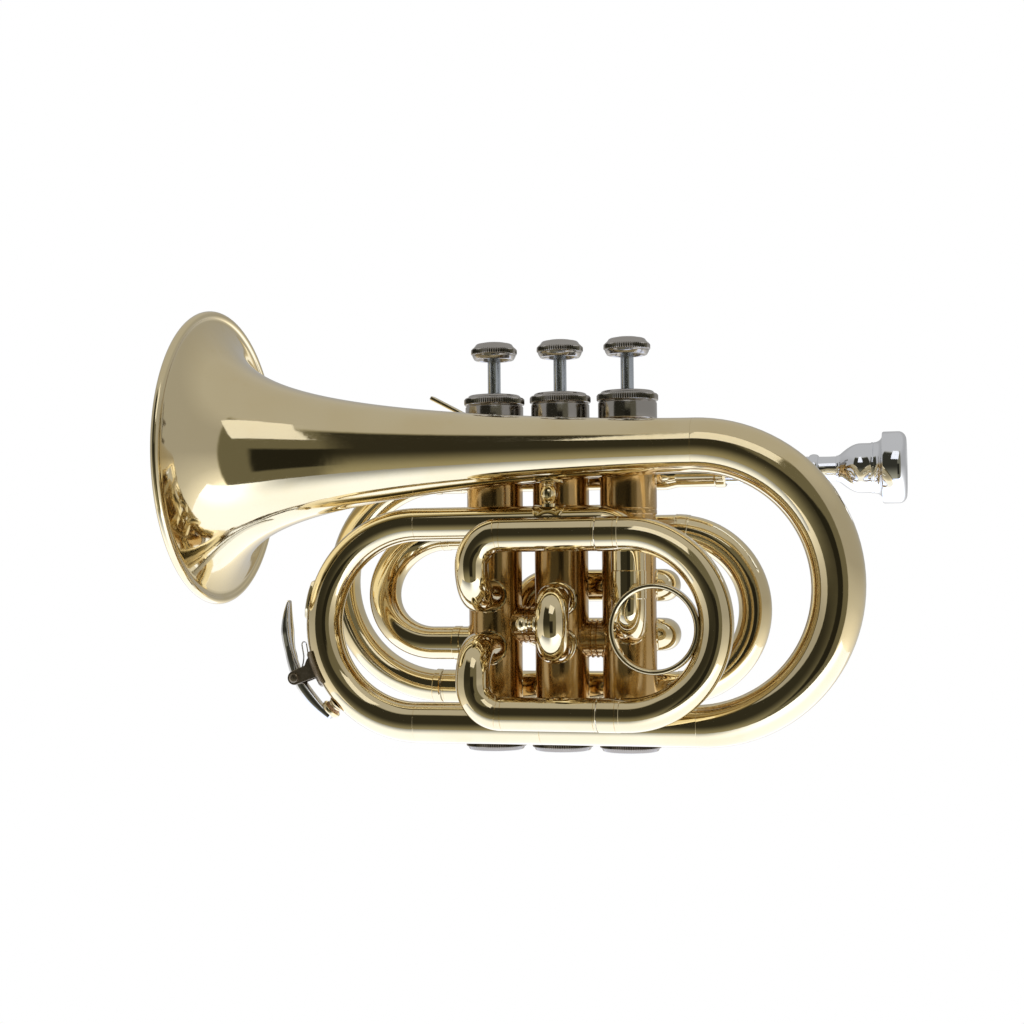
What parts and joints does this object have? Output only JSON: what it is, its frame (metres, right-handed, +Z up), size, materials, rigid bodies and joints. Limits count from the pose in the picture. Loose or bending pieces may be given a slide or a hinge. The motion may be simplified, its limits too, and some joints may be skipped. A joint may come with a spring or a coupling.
{
  "type": "pocket trumpet",
  "caption": "Compact valved brass horn with tightly wound tubing, a flared bell, spring-loaded pistons, pull slides, a water key and a removable cup mouthpiece.",
  "frame": {"origin": "on the second valve's axis at the height where the hand holds the valve casings", "axes": "+X along the instrument towards the mouthpiece, +Z up along the valves towards the finger buttons, -Y to the player's left, the side of the bell and the third slide"},
  "size_m": [0.2609, 0.1134, 0.1699],
  "materials": {
    "lacquered_brass": "clear gold lacquer, polished",
    "nickel_plate": "polished nickel plate",
    "piston_plate": "lapped nickel alloy",
    "slide_leg": "bare nickel silver, greased",
    "silver_plate": "polished silver plate",
    "chrome_plate": "polished chrome",
    "spring_steel": "drawn wire",
    "cork": "natural cork",
    "felt": "pressed wool felt"
  },
  "bodies": {
    "root": {"bell": "lacquered_brass", "bell_rim_ring": "lacquered_brass", "bell_bow": "lacquered_brass", "lower_leg": "lacquered_brass", "front_bow": "lacquered_brass", "upper_leg": "lacquered_brass", "outlet_elbow": "lacquered_brass", "bow_guard": "lacquered_brass", "bell_brace": "lacquered_brass", "valve_casing_1": "lacquered_brass", "valve_casing_2": "lacquered_brass", "valve_casing_3": "lacquered_brass", "top_cap_1": "nickel_plate", "top_cap_2": "nickel_plate", "top_cap_3": "nickel_plate", "bottom_cap_1": "nickel_plate", "bottom_cap_2": "nickel_plate", "bottom_cap_3": "nickel_plate", "valve_guides": "lacquered_brass", "cap_felts": "felt", "valve_knuckles": "lacquered_brass", "leadpipe": "lacquered_brass", "mouthpiece_receiver": "lacquered_brass", "return_tube": "lacquered_brass", "rear_inner_bow": "lacquered_brass", "inner_front_bow": "lacquered_brass", "third_slide_tubes": "lacquered_brass", "second_slide_tubes": "lacquered_brass", "first_slide_tubes": "lacquered_brass", "tube_braces": "lacquered_brass", "finger_hook": "lacquered_brass", "water_key_mount": "lacquered_brass", "water_key_spring": "spring_steel"},
    "valve_1": {"piston_1": "piston_plate", "valve_stem_1": "nickel_plate", "finger_button_1": "nickel_plate", "valve_spring_1": "spring_steel"},
    "valve_2": {"piston_2": "piston_plate", "valve_stem_2": "nickel_plate", "finger_button_2": "nickel_plate", "valve_spring_2": "spring_steel"},
    "valve_3": {"piston_3": "piston_plate", "valve_stem_3": "nickel_plate", "finger_button_3": "nickel_plate", "valve_spring_3": "spring_steel"},
    "third_slide": {"third_slide_bow": "lacquered_brass", "third_slide_legs": "slide_leg", "finger_ring": "lacquered_brass"},
    "second_slide": {"second_slide_bow": "lacquered_brass", "second_slide_legs": "slide_leg", "slide_knob": "lacquered_brass"},
    "first_slide": {"first_slide_bow": "lacquered_brass", "first_slide_legs": "slide_leg"},
    "tuning_slide": {"tuning_slide_bow": "lacquered_brass", "tuning_slide_legs": "slide_leg"},
    "mouthpiece": {"mouthpiece": "silver_plate"},
    "water_key": {"water_key_lever": "chrome_plate", "water_key_cork": "cork"}
  },
  "joints": [
    {"name": "valve_1_press", "type": "slide", "parent": "root", "child": "valve_1", "axis": [0, 0, -1], "range_m": [0, 0.013], "stiffness_N_per_m": 130, "springref_m": -0.022, "deforming": ["valve_spring_1"]},
    {"name": "valve_2_press", "type": "slide", "parent": "root", "child": "valve_2", "axis": [0, 0, -1], "range_m": [0, 0.013], "stiffness_N_per_m": 130, "springref_m": -0.022, "deforming": ["valve_spring_2"]},
    {"name": "valve_3_press", "type": "slide", "parent": "root", "child": "valve_3", "axis": [0, 0, -1], "range_m": [0, 0.013], "stiffness_N_per_m": 130, "springref_m": -0.022, "deforming": ["valve_spring_3"]},
    {"name": "third_slide_pull", "type": "slide", "parent": "root", "child": "third_slide", "axis": [1, 0, 0], "range_m": [0, 0.022]},
    {"name": "second_slide_pull", "type": "slide", "parent": "root", "child": "second_slide", "axis": [0.1219, -0.9925, 0], "range_m": [0, 0.01]},
    {"name": "first_slide_pull", "type": "slide", "parent": "root", "child": "first_slide", "axis": [-1, 0, 0], "range_m": [0, 0.013]},
    {"name": "tuning_slide_pull", "type": "slide", "parent": "root", "child": "tuning_slide", "axis": [-1, 0, 0], "range_m": [0, 0.022]},
    {"name": "mouthpiece_pull", "type": "slide", "parent": "root", "child": "mouthpiece", "axis": [1, 0, 0], "range_m": [0, 0.02]},
    {"name": "water_key_hinge", "type": "hinge", "parent": "root", "child": "water_key", "pos_m": [-0.09972, -0.02, -0.05657], "axis": [0, 1, 0], "range_deg": [0, 10], "stiffness_Nm_per_rad": 0.2, "springref_deg": -17.19}
  ]
}
